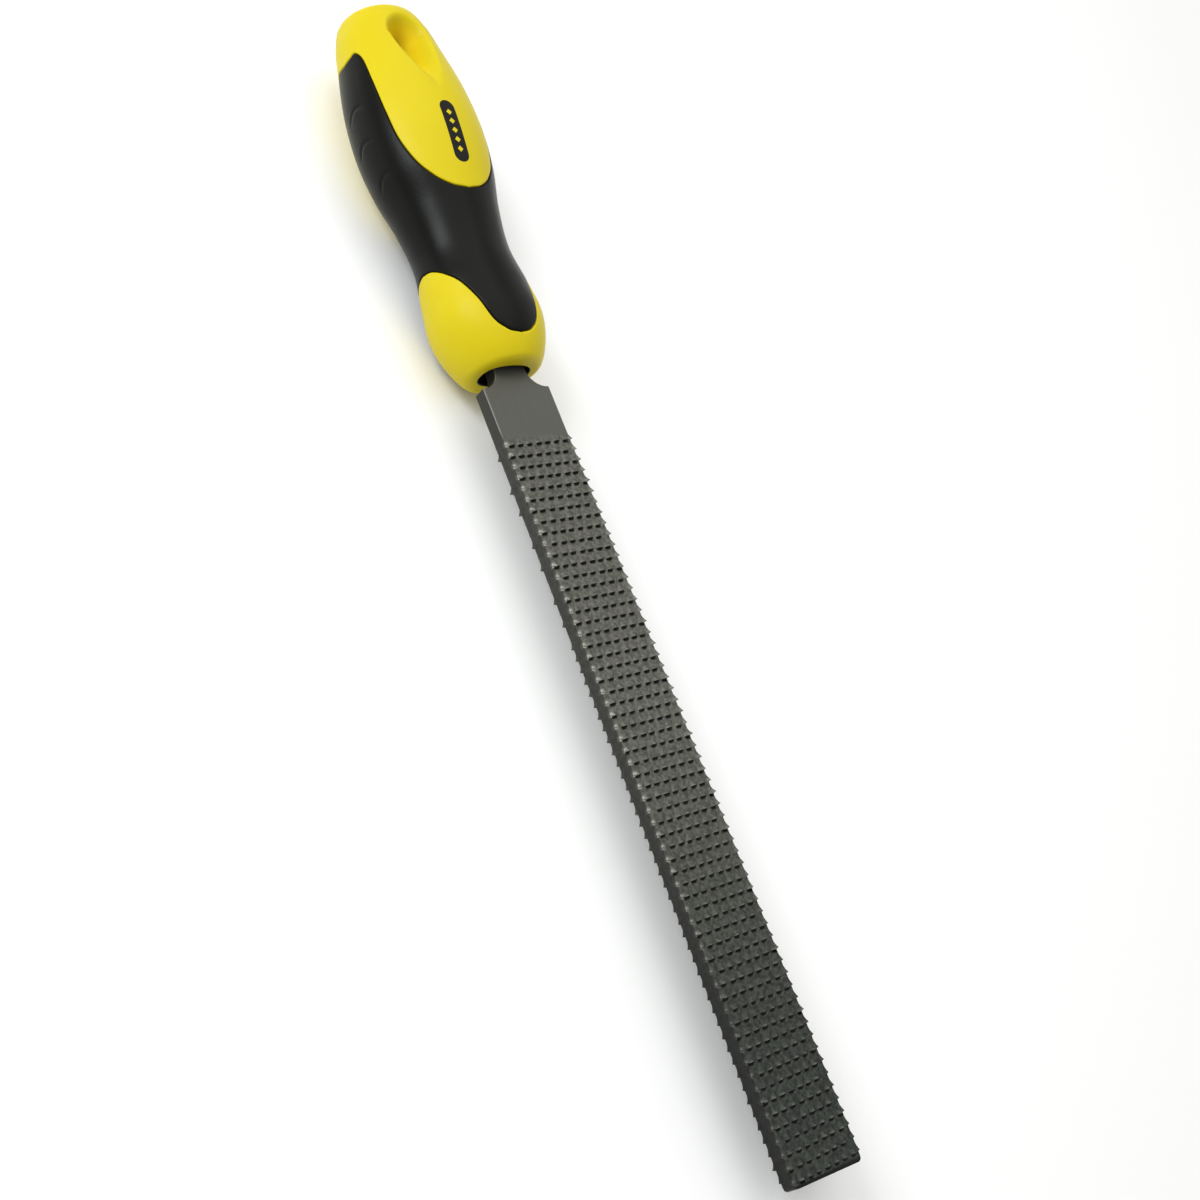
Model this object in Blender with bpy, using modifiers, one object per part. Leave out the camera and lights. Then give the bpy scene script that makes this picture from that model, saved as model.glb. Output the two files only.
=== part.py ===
"""Flat wood rasp: a forged steel blade whose tang sits in a two-colour moulded handle.

Three pieces: the blade with its punched teeth and tang, the hard handle core,
and the soft sleeve moulded round the waist of the core. The blade's own frame
has X along the blade with 0 at the shoulders, and Z out of the front face. The
whole rasp is then moved so that its length is centred on the world origin.
"""
import math

import bmesh
import bpy
import numpy as np
from mathutils import Matrix, Vector

MM = 0.001

# Blade
BLADE_LENGTH = 200 * MM
WIDTH_AT_SHOULDER = 20.5 * MM
WIDTH_AT_TIP = 21.5 * MM
BLADE_THICKNESS = 4.0 * MM
EDGE_BEVEL = 0.3 * MM
TIP_CORNER_RADIUS = 1.2 * MM
NOTCH_RADIUS = 5.3 * MM
NECK_HALF_WIDTH = 4.8 * MM
NECK_END = -12 * MM

# Tang, a tapered spike from inside the neck
TANG_START = -10 * MM
TANG_END = -70 * MM
TANG_HALF_WIDTHS = (4.6 * MM, 1.6 * MM)
TANG_HALF_THICKNESSES = (1.9 * MM, 1.2 * MM)

# Teeth, punched in straight rows that lean a little
ROWS = 62
FIRST_ROW = 15.8 * MM
ROW_PITCH = 3.0 * MM
ROW_LEAN = math.radians(2.3)
TOOTH_PITCH = 2.8 * MM
ROW_SHIFT = -0.39 * TOOTH_PITCH
TOOTH_LENGTH = 2.3 * MM
TOOTH_WIDTH = 1.7 * MM
TOOTH_HEIGHT = 0.85 * MM
TOOTH_ROOT = 0.25 * MM
TOOTH_OVERHANG = 0.1 * MM

# Handle: distance along the blade's X, and half-width there, from nose to butt
HANDLE_OUTLINE = (
    (-5.0, 9.8), (-10.0, 13.0), (-18.0, 15.3), (-27.0, 14.75), (-38.0, 13.3),
    (-50.0, 14.5), (-61.0, 16.8), (-71.0, 17.75), (-84.0, 17.1), (-97.0, 14.7),
    (-104.5, 13.0), (-109.4, 10.6), (-111.2, 6.6), (-111.6, 0.0),
)
FLATNESS = 0.86
NOSE_FLATNESS = 0.97
ROUND_NOSE_FROM = -32 * MM
HANDLE_PIVOT = -30.6 * MM
HANDLE_TILT = math.radians(2.2)

# Sleeve outlines over a quarter of the handle: degrees round from the front, and X
SLEEVE_BUTT_EDGE = (
    (0, -51.6), (19, -52.9), (34, -56.2), (45, -61.2), (51.5, -68.0), (54, -76.0),
    (57, -86.0), (61, -93.2), (68, -96.2), (78, -95.9), (90, -95.4),
)
SLEEVE_NOSE_EDGE = (
    (0, -10.4), (17, -11.7), (28, -15.0), (34, -20.5), (43, -25.9), (58, -30.3),
    (74, -32.8), (90, -33.6),
)
SLEEVE_THICKNESS = 1.7 * MM
GAP = 0.3 * MM
QUARTER_STEPS = 24
SLEEVE_ROWS = 7

# Openings of the handle core
MOUTH_HALF_WIDTH = 6.9 * MM
MOUTH_HALF_HEIGHT = 5.0 * MM
MOUTH_DEPTH = 7.5 * MM
HOLE_CENTRE = -99 * MM
HOLE_HALF_WIDTH = 5.8 * MM
HOLE_TO_POINT = 17.4 * MM
HOLE_TO_BUTT = 6.0 * MM
HOLE_WAIST_SCALE = 0.62
HOLE_HALF_DEPTH = 15 * MM

# The middle of the whole rasp, in the blade's frame; the handle stands prouder in front
HANDLE_END = HANDLE_OUTLINE[-1][0] * MM
CENTRE_OF_LENGTH = (BLADE_LENGTH + HANDLE_END) / 2
CENTRE_OF_DEPTH = 1.4 * MM

for old in list(bpy.data.objects):
    bpy.data.objects.remove(old, do_unlink=True)
rasp_parts = bpy.data.collections.new("wood_rasp")
cutters = bpy.data.collections.new("cutters")
bpy.context.scene.collection.children.link(rasp_parts)
bpy.context.scene.collection.children.link(cutters)


def material(name, colour, metallic, roughness):
    """A Principled material of one colour."""
    made = bpy.data.materials.new(name)
    made.use_nodes = True
    shader = made.node_tree.nodes["Principled BSDF"]
    shader.inputs["Base Color"].default_value = (*colour, 1)
    shader.inputs["Metallic"].default_value = metallic
    shader.inputs["Roughness"].default_value = roughness
    return made


def add_object(name, mesh, collection, parent):
    made = bpy.data.objects.new(name, mesh)
    collection.objects.link(made)
    made.parent = parent
    if collection is cutters:
        made.hide_render = True
        made.display_type = "WIRE"
    return made


def mesh_from(build, name):
    """The mesh that build makes in an empty bmesh, with its faces turned outwards."""
    work = bmesh.new()
    build(work)
    bmesh.ops.recalc_face_normals(work, faces=work.faces)
    mesh = bpy.data.meshes.new(name)
    work.to_mesh(mesh)
    work.free()
    return mesh


def evaluated_mesh(source, name):
    """A plain mesh of an object with its modifiers applied; the object is removed."""
    bpy.context.view_layer.update()
    graph = bpy.context.evaluated_depsgraph_get()
    mesh = bpy.data.meshes.new_from_object(source.evaluated_get(graph))
    mesh.name = name
    mesh.transform(source.matrix_world)
    bpy.data.objects.remove(source, do_unlink=True)
    work = bmesh.new()
    work.from_mesh(mesh)
    bmesh.ops.remove_doubles(work, verts=work.verts, dist=1e-6)
    bmesh.ops.recalc_face_normals(work, faces=work.faces)
    work.to_mesh(mesh)
    work.free()
    return mesh


def boolean(target, cutter, operation):
    modifier = target.modifiers.new(f"{operation.lower()}_{cutter.name}", "BOOLEAN")
    modifier.operation = operation
    modifier.object = cutter
    modifier.solver = "EXACT"
    return modifier


def join_flat_faces(work, mesh):
    """The mesh with each flat side made one face."""
    work.from_mesh(mesh)
    bmesh.ops.dissolve_limit(work, angle_limit=0.001, verts=work.verts, edges=work.edges)


def extruded_outline(name, points, half_thickness):
    """A flat plate from a closed outline in XY, as thick as twice half_thickness."""
    curve = bpy.data.curves.new(name, "CURVE")
    curve.dimensions = "2D"
    curve.fill_mode = "BOTH"
    curve.extrude = half_thickness
    spline = curve.splines.new("POLY")
    spline.points.add(len(points) - 1)
    for point, (x, y) in zip(spline.points, points):
        point.co = (x, y, 0, 1)
    spline.use_cyclic_u = True
    plate = bpy.data.objects.new(name, curve)
    bpy.context.scene.collection.objects.link(plate)
    mesh = evaluated_mesh(plate, name)
    return mesh_from(lambda work: join_flat_faces(work, mesh), name)


def smooth_through(points, per_span):
    """Points along a Catmull-Rom curve through the given ones, spaced by chord length."""
    given = np.array(points, float)
    chord = np.concatenate([[0], np.cumsum(np.linalg.norm(np.diff(given, axis=0), axis=1))])
    slope = np.gradient(given, chord, axis=0)
    made = []
    for i in range(len(given) - 1):
        span = chord[i + 1] - chord[i]
        t = np.linspace(0, 1, per_span, endpoint=False)[:, None]
        made.append(
            (2 * t**3 - 3 * t**2 + 1) * given[i]
            + (t**3 - 2 * t**2 + t) * span * slope[i]
            + (3 * t**2 - 2 * t**3) * given[i + 1]
            + (t**3 - t**2) * span * slope[i + 1]
        )
    made.append(given[-1:])
    return np.concatenate(made)


def arc(centre, radius, start, end, steps):
    """Points on an arc, with its angles in degrees."""
    return [
        (centre[0] + radius * math.cos(math.radians(a)), centre[1] + radius * math.sin(math.radians(a)))
        for a in np.linspace(start, end, steps + 1)
    ]


# ---------------------------------------------------------------- blade
def blade_outline():
    """One side from the tip to the neck, then the other side mirrored."""
    tip_y = WIDTH_AT_TIP / 2
    shoulder_y = WIDTH_AT_SHOULDER / 2
    corner = (BLADE_LENGTH - TIP_CORNER_RADIUS, tip_y - TIP_CORNER_RADIUS)
    side = arc(corner, TIP_CORNER_RADIUS, 0, 90, 4)
    side.append((0, shoulder_y))
    notch_centre = (-NOTCH_RADIUS, NECK_HALF_WIDTH + NOTCH_RADIUS)
    side += arc(notch_centre, NOTCH_RADIUS, 0, -90, 8)
    side.append((NECK_END, NECK_HALF_WIDTH))
    return side + [(x, -y) for x, y in reversed(side)]


def add_tooth(work, x, y, side):
    """One punched tooth: a three-sided cone whose tip leans over its steep front end."""
    cone = bmesh.ops.create_cone(work, cap_ends=True, segments=3, radius1=1, radius2=0, depth=1)
    apex = max(cone["verts"], key=lambda v: v.co.z)
    base = [v for v in cone["verts"] if v != apex]
    face = BLADE_THICKNESS / 2
    half = TOOTH_WIDTH / 2
    rear = x - TOOTH_LENGTH
    for vertex, place in zip(base, ((x, y - half), (rear, y), (x, y + half))):
        vertex.co = (*place, side * (face - TOOTH_ROOT))
    apex.co = (x + TOOTH_OVERHANG, y, side * (face + TOOTH_HEIGHT))


def build_teeth(work):
    """Rows of teeth on both faces; each row is shifted a part of a pitch from the last."""
    for side in (1, -1):
        for row in range(ROWS):
            along = FIRST_ROW + row * ROW_PITCH
            half_width = (WIDTH_AT_SHOULDER + (WIDTH_AT_TIP - WIDTH_AT_SHOULDER) * along / BLADE_LENGTH) / 2
            reach = half_width - 0.1 * MM
            first = (row * ROW_SHIFT) % TOOTH_PITCH
            count = int((reach + half_width) / TOOTH_PITCH) + 2
            for k in range(-count, count):
                y = first + k * TOOTH_PITCH
                if abs(y) <= reach:
                    add_tooth(work, along - math.tan(ROW_LEAN) * y, y * side, side)


def build_tang(work, clearance=0.0):
    """A cube drawn out into a tapered spike."""
    bmesh.ops.create_cube(work, size=2)
    for vertex in work.verts:
        far = vertex.co.x < 0
        x = (TANG_END if far else TANG_START) + (-clearance if far else 0)
        y = TANG_HALF_WIDTHS[far] + clearance
        z = TANG_HALF_THICKNESSES[far] + clearance
        vertex.co = (x, math.copysign(y, vertex.co.y), math.copysign(z, vertex.co.z))


def make_blade(parent):
    plate = extruded_outline("rasp_blade", blade_outline(), BLADE_THICKNESS / 2)
    blade = add_object("rasp_blade", plate, rasp_parts, parent)
    bevel = blade.modifiers.new("eased_edges", "BEVEL")
    bevel.width = EDGE_BEVEL
    bevel.segments = 1
    bevel.limit_method = "ANGLE"
    bevel.angle_limit = math.radians(50)
    tang = add_object("tang_spike", mesh_from(build_tang, "tang_spike"), cutters, parent)
    boolean(blade, tang, "UNION")
    teeth = add_object("punched_teeth", mesh_from(build_teeth, "punched_teeth"), cutters, parent)
    boolean(blade, teeth, "UNION")
    blade.data.materials.append(material("carbon_steel", (0.11, 0.11, 0.095), 0.9, 0.5))
    return blade


# ---------------------------------------------------------------- handle
HANDLE_CURVE = smooth_through(HANDLE_OUTLINE, 3) * MM


def half_width(x):
    """Half-width of the handle at X, read from its outline."""
    return np.interp(x, HANDLE_CURVE[::-1, 0], HANDLE_CURVE[::-1, 1])


def flatness(x):
    """Thickness over width: flatter at the grip, nearly round at the nose."""
    toward_nose = np.clip((x - ROUND_NOSE_FROM) / (HANDLE_CURVE[0, 0] - ROUND_NOSE_FROM), 0, 1)
    return FLATNESS + (NOSE_FLATNESS - FLATNESS) * toward_nose**1.5


def core_body():
    """The handle's outline turned round X, then flattened to its oval section."""
    points = np.vstack([[HANDLE_CURVE[0, 0], 0], HANDLE_CURVE])
    profile = bpy.data.meshes.new("handle_profile")
    edges = [(i, i + 1) for i in range(len(points) - 1)]
    profile.from_pydata([(x, max(y, 0), 0) for x, y in points], edges, [])
    turned = bpy.data.objects.new("handle_profile", profile)
    bpy.context.scene.collection.objects.link(turned)
    screw = turned.modifiers.new("turned", "SCREW")
    screw.axis = "X"
    screw.steps = screw.render_steps = 48
    screw.use_merge_vertices = True
    screw.merge_threshold = 0.00001
    mesh = evaluated_mesh(turned, "handle_core")
    for vertex in mesh.vertices:
        vertex.co.z *= float(flatness(vertex.co.x))
    return mesh


def edge_curve(outline, grow):
    """A sleeve edge over a quarter of the handle, moved along the skin by grow.

    Returns angles from the front in radians, and the X of the edge at each.
    """
    curve = smooth_through(outline, 12)
    angle, x = np.radians(curve[:, 0]), curve[:, 1] * MM
    arc = np.gradient(angle) * half_width(x)
    run = np.hypot(arc, np.gradient(x))
    return angle - grow * np.gradient(x) / run / half_width(x), x + grow * arc / run


def column_angles():
    """Angles round the handle, closest together where an edge of the sleeve runs along it."""
    fine = np.linspace(0, math.pi / 2, 400)
    length = fine * 0.012
    for outline in (SLEEVE_BUTT_EDGE, SLEEVE_NOSE_EDGE):
        edge = np.interp(fine, *edge_curve(outline, 0))
        length = length + np.concatenate([[0], np.cumsum(np.abs(np.diff(edge)))])
    quarter = np.interp(np.linspace(0, length[-1], QUARTER_STEPS + 1), length, fine)
    half = np.concatenate([quarter, math.pi - quarter[-2::-1]])
    return np.concatenate([half, math.pi + half[1:]])


def build_sleeve_sheet(work, grow):
    """A grid wrapped round the waist between the sleeve's two wavy edges, as an open skin."""
    angles = column_angles()
    from_face = np.abs((angles + math.pi / 2) % math.pi - math.pi / 2)
    butt_x = np.interp(from_face, *edge_curve(SLEEVE_BUTT_EDGE, -grow))
    nose_x = np.interp(from_face, *edge_curve(SLEEVE_NOSE_EDGE, grow))
    around = len(angles) - 1
    bmesh.ops.create_grid(work, x_segments=around, y_segments=SLEEVE_ROWS, size=0.5)
    for vertex in work.verts:
        i = round((vertex.co.x + 0.5) * around)
        v = vertex.co.y + 0.5
        x = (1 - v) * butt_x[i] + v * nose_x[i]
        wide = half_width(x)
        deep = wide * flatness(x)
        vertex.co = (x, wide * math.sin(angles[i]), deep * math.cos(angles[i]))
    bmesh.ops.remove_doubles(work, verts=work.verts, dist=1e-6)


def sleeve_solid(name, grow, outwards, inwards, collection, parent):
    """The wavy band given a wall on either side of the handle's skin."""
    sheet = mesh_from(lambda work: build_sleeve_sheet(work, grow), name)
    middle = sheet.polygons[0]
    if middle.normal.dot(Vector((0, middle.center.y, middle.center.z))) < 0:
        sheet.flip_normals()
    band = add_object(name, sheet, collection, parent)
    wall = band.modifiers.new("wall", "SOLIDIFY")
    wall.thickness = outwards + inwards
    wall.offset = (outwards - inwards) / (outwards + inwards)
    wall.use_even_offset = True
    return band


def mouth_outline():
    """The mouth of the nose in YZ: an oval with full corners."""
    outline = []
    for k in range(32):
        a = 2 * math.pi * k / 32
        y = MOUTH_HALF_WIDTH * math.copysign(abs(math.cos(a)) ** 0.8, math.cos(a))
        z = MOUTH_HALF_HEIGHT * math.copysign(abs(math.sin(a)) ** 0.8, math.sin(a))
        outline.append((y, z))
    return outline


def make_mouth_cutter(parent):
    mesh = extruded_outline("mouth", mouth_outline(), MOUTH_DEPTH)
    stand_across = Matrix(((0, 0, 1, 0), (1, 0, 0, 0), (0, 1, 0, 0), (0, 0, 0, 1)))
    mesh.transform(Matrix.Translation((HANDLE_CURVE[0, 0], 0, 0)) @ stand_across)
    return add_object("mouth", mesh, cutters, parent)


def hole_point(a):
    """The hang hole's rim at angle a: pointed towards the blade, round towards the butt."""
    if math.cos(a) < 0:
        return HOLE_TO_BUTT * math.cos(a), HOLE_HALF_WIDTH * math.sin(a)
    u = math.cos(a) ** 1.4
    across = HOLE_HALF_WIDTH * (1 - u**1.6) ** 0.7
    return HOLE_TO_POINT * u, math.copysign(across, math.sin(a))


def build_hang_hole(work):
    """Two cones end to end, narrow in the middle of the handle, drawn out to the rim's shape."""
    around = 36
    for side in (1, -1):
        cone = bmesh.ops.create_cone(
            work, cap_ends=True, segments=around, radius1=1, radius2=2, depth=2
        )
        for vertex in cone["verts"]:
            a = math.atan2(vertex.co.y, vertex.co.x)
            outer = vertex.co.z > 0
            scale = 1.12 if outer else HOLE_WAIST_SCALE
            x, y = hole_point(a)
            z = side * HOLE_HALF_DEPTH * (1.2 if outer else 0.0)
            vertex.co = (HOLE_CENTRE + x * scale, y * scale * side, z)
    waist = [f for f in work.faces if all(abs(v.co.z) < 1e-7 for v in f.verts)]
    bmesh.ops.delete(work, geom=waist, context="FACES_ONLY")
    bmesh.ops.remove_doubles(work, verts=work.verts, dist=1e-6)


def make_handle(blade_frame, handle_frame):
    core = add_object("handle_core", core_body(), rasp_parts, handle_frame)
    pocket_depth = SLEEVE_THICKNESS + GAP
    pocket = sleeve_solid("sleeve_pocket", GAP, 1 * MM, pocket_depth, cutters, handle_frame)
    boolean(core, pocket, "DIFFERENCE")
    boolean(core, make_mouth_cutter(handle_frame), "DIFFERENCE")
    socket = mesh_from(lambda work: build_tang(work, GAP), "tang_socket")
    boolean(core, add_object("tang_socket", socket, cutters, blade_frame), "DIFFERENCE")
    hole = add_object("hang_hole", mesh_from(build_hang_hole, "hang_hole"), cutters, handle_frame)
    boolean(core, hole, "DIFFERENCE")
    core.data.materials.append(material("yellow_polypropylene", (0.80, 0.60, 0.03), 0, 0.4))

    sleeve = sleeve_solid("grip_sleeve", 0, 0, SLEEVE_THICKNESS, rasp_parts, handle_frame)
    sleeve.data.materials.append(material("black_soft_rubber", (0.018, 0.018, 0.016), 0, 0.55))
    for piece in (core, sleeve):
        piece.data.shade_smooth()
        piece.data.set_sharp_from_angle(angle=math.radians(35))


blade_frame = add_object("blade_frame", None, rasp_parts, None)
blade_frame.location = (-CENTRE_OF_LENGTH, 0, -CENTRE_OF_DEPTH)
handle_frame = add_object("handle_frame", None, rasp_parts, blade_frame)
handle_frame.matrix_local = (
    Matrix.Translation((HANDLE_PIVOT, 0, 0))
    @ Matrix.Rotation(HANDLE_TILT, 4, "Y")
    @ Matrix.Translation((-HANDLE_PIVOT, 0, 0))
)
make_blade(blade_frame)
make_handle(blade_frame, handle_frame)
bpy.context.view_layer.update()
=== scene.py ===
"""Looks of the flat wood rasp: blade, hard core and soft sleeve as fine surfaces.

Every shape is worked out in millimetres in one of two frames, then taken to the
world in metres. The blade's frame has X along the blade with 0 at the shoulders
and Z out of the front face. The handle's frame is the same, tilted a little.
"""
import math

import bpy
import numpy as np
from mathutils import Matrix, Vector


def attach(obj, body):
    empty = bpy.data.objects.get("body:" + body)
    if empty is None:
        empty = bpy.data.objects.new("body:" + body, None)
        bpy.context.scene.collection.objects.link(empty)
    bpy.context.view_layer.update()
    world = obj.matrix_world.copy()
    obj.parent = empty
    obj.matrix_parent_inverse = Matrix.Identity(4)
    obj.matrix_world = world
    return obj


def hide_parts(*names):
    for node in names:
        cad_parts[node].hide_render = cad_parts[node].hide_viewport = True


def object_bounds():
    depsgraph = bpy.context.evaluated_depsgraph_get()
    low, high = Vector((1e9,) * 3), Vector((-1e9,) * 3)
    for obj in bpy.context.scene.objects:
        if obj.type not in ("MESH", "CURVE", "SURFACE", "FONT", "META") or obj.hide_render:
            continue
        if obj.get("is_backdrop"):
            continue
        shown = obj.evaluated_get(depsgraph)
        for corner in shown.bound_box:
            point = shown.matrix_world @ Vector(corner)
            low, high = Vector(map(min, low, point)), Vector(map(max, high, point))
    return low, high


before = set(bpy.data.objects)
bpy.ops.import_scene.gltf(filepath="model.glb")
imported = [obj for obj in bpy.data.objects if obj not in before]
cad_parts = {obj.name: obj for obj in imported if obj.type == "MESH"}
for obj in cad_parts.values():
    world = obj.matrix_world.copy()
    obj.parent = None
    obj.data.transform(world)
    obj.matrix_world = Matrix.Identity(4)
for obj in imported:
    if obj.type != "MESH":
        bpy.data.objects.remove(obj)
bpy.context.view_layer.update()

# ---------------------------------------------------------------- frames
MM = 0.001             # metres in a millimetre
CENTRE_X = 44.2        # the world's origin along the blade, from the shoulders
CENTRE_Z = 1.4         # and above the blade's middle plane
PIVOT_X = -30.6        # the handle turns about this point of the blade's axis
TILT = math.radians(2.2)


def blade_to_world(points):
    """Metres in the world from millimetres in the blade's frame."""
    return (np.asarray(points, float) - (CENTRE_X, 0, CENTRE_Z)) * MM


def handle_to_blade(points):
    """Turned about the pivot by the tilt, which lifts the butt."""
    x, y, z = np.moveaxis(np.asarray(points, float), -1, 0)
    along = x - PIVOT_X
    turned_x = PIVOT_X + along * math.cos(TILT) + z * math.sin(TILT)
    turned_z = z * math.cos(TILT) - along * math.sin(TILT)
    return np.stack([turned_x, y, turned_z], axis=-1)


def handle_to_world(points):
    return blade_to_world(handle_to_blade(points))


# ---------------------------------------------------------------- camera and light
CAMERA_PLACE = (178.32, -266.71, 304.18)
CAMERA_RIGHT = (0.3543, 0.7664, 0.5358)
CAMERA_UP = (-0.9006, 0.1253, 0.4162)
CAMERA_LENS = 52.62
CAMERA_SHIFT_Y = 0.0521
# Each softbox: the way to it from the rasp, its distance and size in metres, watts and colour
SOFTBOXES = {
    "key_softbox": ((-0.42, -0.68, 0.62), 0.85, (0.36, 0.22), 3.8, (0.93, 0.97, 1.0)),
    "top_softbox": ((-0.4, -0.1, 1.0), 1.0, (1.2, 1.2), 6.0, (1.0, 1.0, 1.0)),
    "fill_softbox": ((-0.35, 0.9, 0.6), 1.2, (1.0, 0.8), 1.0, (1.0, 1.0, 1.0)),
}
STUDIO_BRIGHTNESS = 0.55
FLOOR_HALF_SIZE = 3.0
FLOOR_GAP = 0.0005


def add_camera():
    """Looks down on the whole rasp from beyond its tip, a little to one side."""
    data = bpy.data.cameras.new("camera")
    data.sensor_width = 36
    data.lens = CAMERA_LENS
    data.shift_y = CAMERA_SHIFT_Y
    data.clip_start = 0.01
    camera = bpy.data.objects.new("camera", data)
    bpy.context.scene.collection.objects.link(camera)
    axes = np.array([CAMERA_RIGHT, CAMERA_UP, np.cross(CAMERA_RIGHT, CAMERA_UP)])
    matrix = np.eye(4)
    matrix[:3, :3] = (axes / np.linalg.norm(axes, axis=1, keepdims=True)).T
    matrix[:3, 3] = blade_to_world(CAMERA_PLACE)
    camera.matrix_world = Matrix(matrix.tolist())
    bpy.context.scene.camera = camera


def add_softbox(name, direction, distance, size, watts, colour):
    """A rectangular area light that looks at the middle of the rasp."""
    data = bpy.data.lights.new(name, "AREA")
    data.shape = "RECTANGLE"
    data.size, data.size_y = size
    data.energy = watts
    data.color = colour
    light = bpy.data.objects.new(name, data)
    bpy.context.scene.collection.objects.link(light)
    towards = Vector(direction).normalized()
    light.location = towards * distance
    light.rotation_euler = towards.to_track_quat("Z", "X").to_euler()


def light_studio():
    """Three softboxes in an evenly bright room."""
    for name, settings in SOFTBOXES.items():
        add_softbox(name, *settings)
    world = bpy.data.worlds.new("studio")
    world.use_nodes = True
    background = world.node_tree.nodes["Background"]
    background.inputs["Color"].default_value = (1, 1, 1, 1)
    background.inputs["Strength"].default_value = STUDIO_BRIGHTNESS
    bpy.context.scene.world = world
    bpy.context.scene.view_settings.view_transform = "Standard"


def linear(hex_colour):
    """Linear RGBA of an sRGB hex colour."""
    srgb = np.array([int(hex_colour[i:i + 2], 16) for i in (1, 3, 5)]) / 255
    value = np.where(srgb <= 0.04045, srgb / 12.92, ((srgb + 0.055) / 1.055) ** 2.4)
    return (*value, 1.0)


# ---------------------------------------------------------------- materials
def new_material(name):
    made = bpy.data.materials.new(name)
    made.use_nodes = True
    return made, made.node_tree.nodes["Principled BSDF"]


def add_node(material, kind, settings=None, inputs=None, output=0):
    """Adds a node with its settings and gives back one of its outputs.

    inputs maps an input's name or number to a value or to another node's output.
    """
    node = material.node_tree.nodes.new(kind)
    for name, value in (settings or {}).items():
        setattr(node, name, value)
    for key, value in (inputs or {}).items():
        if isinstance(value, bpy.types.NodeSocket):
            material.node_tree.links.new(value, node.inputs[key])
        else:
            node.inputs[key].default_value = value
    return node.outputs[output]


def use_on_surface(material, shader, colour, bump):
    """Feeds the finished colour and bump to the shader."""
    material.node_tree.links.new(colour, shader.inputs["Base Color"])
    material.node_tree.links.new(bump, shader.inputs["Normal"])


MIX = "ShaderNodeMix"
MATH = "ShaderNodeMath"
NOISE = "ShaderNodeTexNoise"
BUMP = "ShaderNodeBump"
ATTRIBUTE = "ShaderNodeAttribute"
COLOURS = {"data_type": "RGBA"}    # the colour inputs of a Mix node are 6 and 7, and its output 2


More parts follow.
